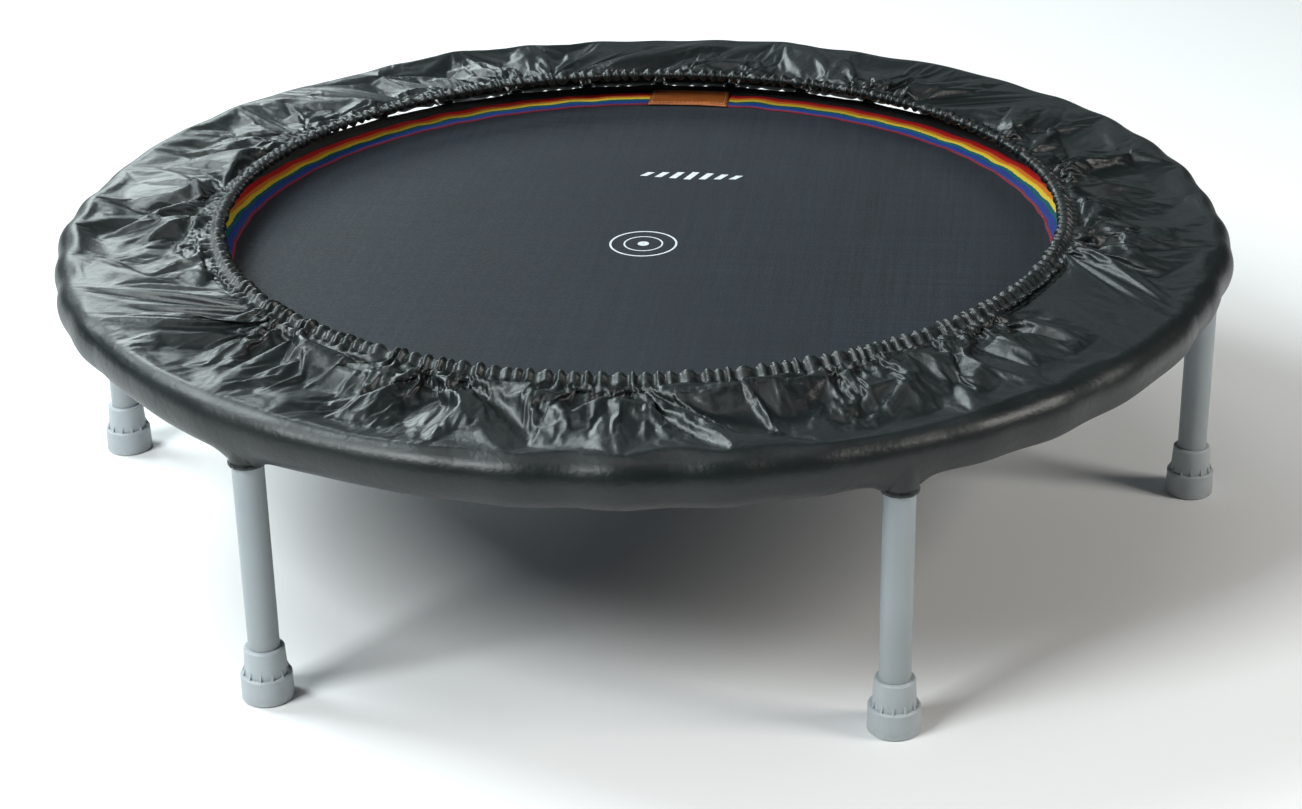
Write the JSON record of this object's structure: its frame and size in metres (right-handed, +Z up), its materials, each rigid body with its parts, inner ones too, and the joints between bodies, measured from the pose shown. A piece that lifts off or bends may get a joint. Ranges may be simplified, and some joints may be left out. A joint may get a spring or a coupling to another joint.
{
  "type": "mini trampoline",
  "caption": "Round mini trampoline: woven mat hung by springs in a steel ring on screw-in legs, with a gathered cover over the springs.",
  "frame": {"origin": "on the floor, under the middle of the ring", "axes": "+Z up; +X to a leg; +Y to the leather patch on the mat"},
  "size_m": [1.0276, 1.02, 0.2633],
  "materials": {
    "powder_coat": "light grey powder coat",
    "zinc_steel": "bright zinc plate",
    "spring_steel": "zinc-plated drawn spring wire",
    "foot_plastic": "light grey moulded plastic, fine matt grain",
    "woven_mat": "tight plain weave of flat dark slate yarn",
    "hem_webbing": "black woven webbing, stitched",
    "striped_webbing": "woven tape with six coloured stripes",
    "tan_leather": "orange-brown leather, stitched round its edge",
    "coated_cover": "black coated fabric, satin gloss, gathered",
    "elastic_cord": "black braided elastic"
  },
  "bodies": {
    "frame": {"frame_ring": "powder_coat", "leg_socket_1": "powder_coat", "leg_socket_2": "powder_coat", "leg_socket_3": "powder_coat", "leg_socket_4": "powder_coat", "leg_socket_5": "powder_coat", "leg_socket_6": "powder_coat", "frame_eyes": "zinc_steel", "springs_1": "spring_steel", "springs_2": "spring_steel", "springs_3": "spring_steel", "springs_4": "spring_steel", "springs_5": "spring_steel", "springs_6": "spring_steel", "cover_skin": "coated_cover", "cover_elastic": "elastic_cord", "cover_draw_elastic": "elastic_cord", "leg_sleeves": "coated_cover"},
    "mat": {"mat_fabric": "woven_mat", "mat_hem": "hem_webbing", "striped_tape": "striped_webbing", "leather_patch": "tan_leather", "mat_links": "zinc_steel", "webbing_tabs": "hem_webbing"},
    "washer_1": {"leg_washer_1": "zinc_steel"},
    "leg_1": {"leg_tube_1": "powder_coat", "leg_stud_1": "zinc_steel", "foot_cap_1": "foot_plastic"},
    "washer_2": {"leg_washer_2": "zinc_steel"},
    "leg_2": {"leg_tube_2": "powder_coat", "leg_stud_2": "zinc_steel", "foot_cap_2": "foot_plastic"},
    "washer_3": {"leg_washer_3": "zinc_steel"},
    "leg_3": {"leg_tube_3": "powder_coat", "leg_stud_3": "zinc_steel", "foot_cap_3": "foot_plastic"},
    "washer_4": {"leg_washer_4": "zinc_steel"},
    "leg_4": {"leg_tube_4": "powder_coat", "leg_stud_4": "zinc_steel", "foot_cap_4": "foot_plastic"},
    "washer_5": {"leg_washer_5": "zinc_steel"},
    "leg_5": {"leg_tube_5": "powder_coat", "leg_stud_5": "zinc_steel", "foot_cap_5": "foot_plastic"},
    "washer_6": {"leg_washer_6": "zinc_steel"},
    "leg_6": {"leg_tube_6": "powder_coat", "leg_stud_6": "zinc_steel", "foot_cap_6": "foot_plastic"}
  },
  "joints": [
    {"name": "mat_bounce", "type": "slide", "parent": "frame", "child": "mat", "axis": [0, 0, 1], "range_m": [-0.06, 0], "stiffness_N_per_m": 12000, "springref_m": 0.002, "deforming": ["springs_1", "springs_2", "springs_3", "springs_4", "springs_5", "springs_6"]},
    {"name": "leg_1_lift", "type": "slide", "parent": "frame", "child": "washer_1", "axis": [0, 0, 1], "range_m": [-0.01225, 0]},
    {"name": "leg_1_turn", "type": "hinge", "parent": "washer_1", "child": "leg_1", "pos_m": [0.493, 0, 0.206], "axis": [0, 0, 1], "range_deg": [-2525, 0]},
    {"name": "leg_2_lift", "type": "slide", "parent": "frame", "child": "washer_2", "axis": [0, 0, 1], "range_m": [-0.01225, 0]},
    {"name": "leg_2_turn", "type": "hinge", "parent": "washer_2", "child": "leg_2", "pos_m": [0.2465, 0.42695, 0.206], "axis": [0, 0, 1], "range_deg": [-2525, 0]},
    {"name": "leg_3_lift", "type": "slide", "parent": "frame", "child": "washer_3", "axis": [0, 0, 1], "range_m": [-0.01225, 0]},
    {"name": "leg_3_turn", "type": "hinge", "parent": "washer_3", "child": "leg_3", "pos_m": [-0.2465, 0.42695, 0.206], "axis": [0, 0, 1], "range_deg": [-2525, 0]},
    {"name": "leg_4_lift", "type": "slide", "parent": "frame", "child": "washer_4", "axis": [0, 0, 1], "range_m": [-0.01225, 0]},
    {"name": "leg_4_turn", "type": "hinge", "parent": "washer_4", "child": "leg_4", "pos_m": [-0.493, 0, 0.206], "axis": [0, 0, 1], "range_deg": [-2525, 0]},
    {"name": "leg_5_lift", "type": "slide", "parent": "frame", "child": "washer_5", "axis": [0, 0, 1], "range_m": [-0.01225, 0]},
    {"name": "leg_5_turn", "type": "hinge", "parent": "washer_5", "child": "leg_5", "pos_m": [-0.2465, -0.42695, 0.206], "axis": [0, 0, 1], "range_deg": [-2525, 0]},
    {"name": "leg_6_lift", "type": "slide", "parent": "frame", "child": "washer_6", "axis": [0, 0, 1], "range_m": [-0.01225, 0]},
    {"name": "leg_6_turn", "type": "hinge", "parent": "washer_6", "child": "leg_6", "pos_m": [0.2465, -0.42695, 0.206], "axis": [0, 0, 1], "range_deg": [-2525, 0]}
  ],
  "couplings": [
    {"joint": "leg_1_turn", "follows": "leg_1_lift", "rad_per_m": 3590.4},
    {"joint": "leg_2_turn", "follows": "leg_2_lift", "rad_per_m": 3590.4},
    {"joint": "leg_3_turn", "follows": "leg_3_lift", "rad_per_m": 3590.4},
    {"joint": "leg_4_turn", "follows": "leg_4_lift", "rad_per_m": 3590.4},
    {"joint": "leg_5_turn", "follows": "leg_5_lift", "rad_per_m": 3590.4},
    {"joint": "leg_6_turn", "follows": "leg_6_lift", "rad_per_m": 3590.4}
  ]
}
